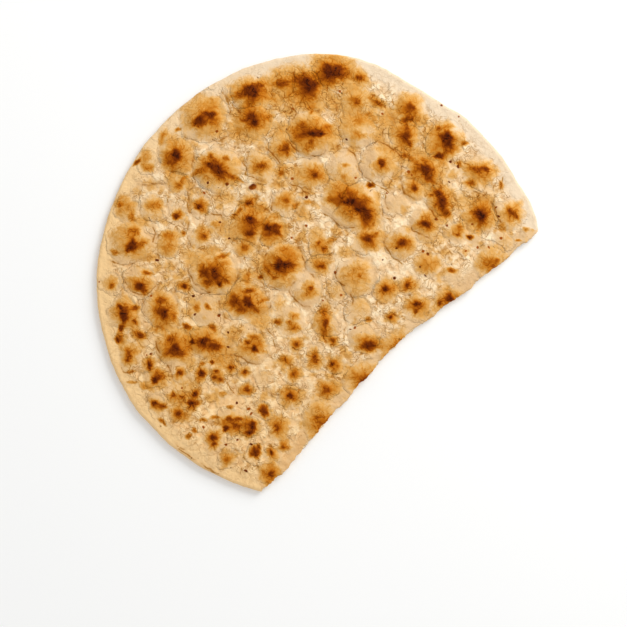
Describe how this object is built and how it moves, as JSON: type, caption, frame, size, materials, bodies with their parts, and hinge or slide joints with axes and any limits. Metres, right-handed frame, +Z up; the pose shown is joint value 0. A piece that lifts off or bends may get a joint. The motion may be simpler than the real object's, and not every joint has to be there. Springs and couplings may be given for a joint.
{
  "type": "flatbread",
  "caption": "Thin round flatbread with a blistered, char-spotted top and one side torn away, lying flat.",
  "frame": {"origin": "middle of the round bread on its flat underside", "axes": "+Z up out of the blistered top; +X points just below the tip where the tear begins; the torn side faces +X -Y"},
  "size_m": [0.2418, 0.2394, 0.0084],
  "materials": {
    "baked_bread": "dry floury crust with toasted and charred blisters"
  },
  "bodies": {
    "root": {"flatbread": "baked_bread"}
  },
  "joints": []
}
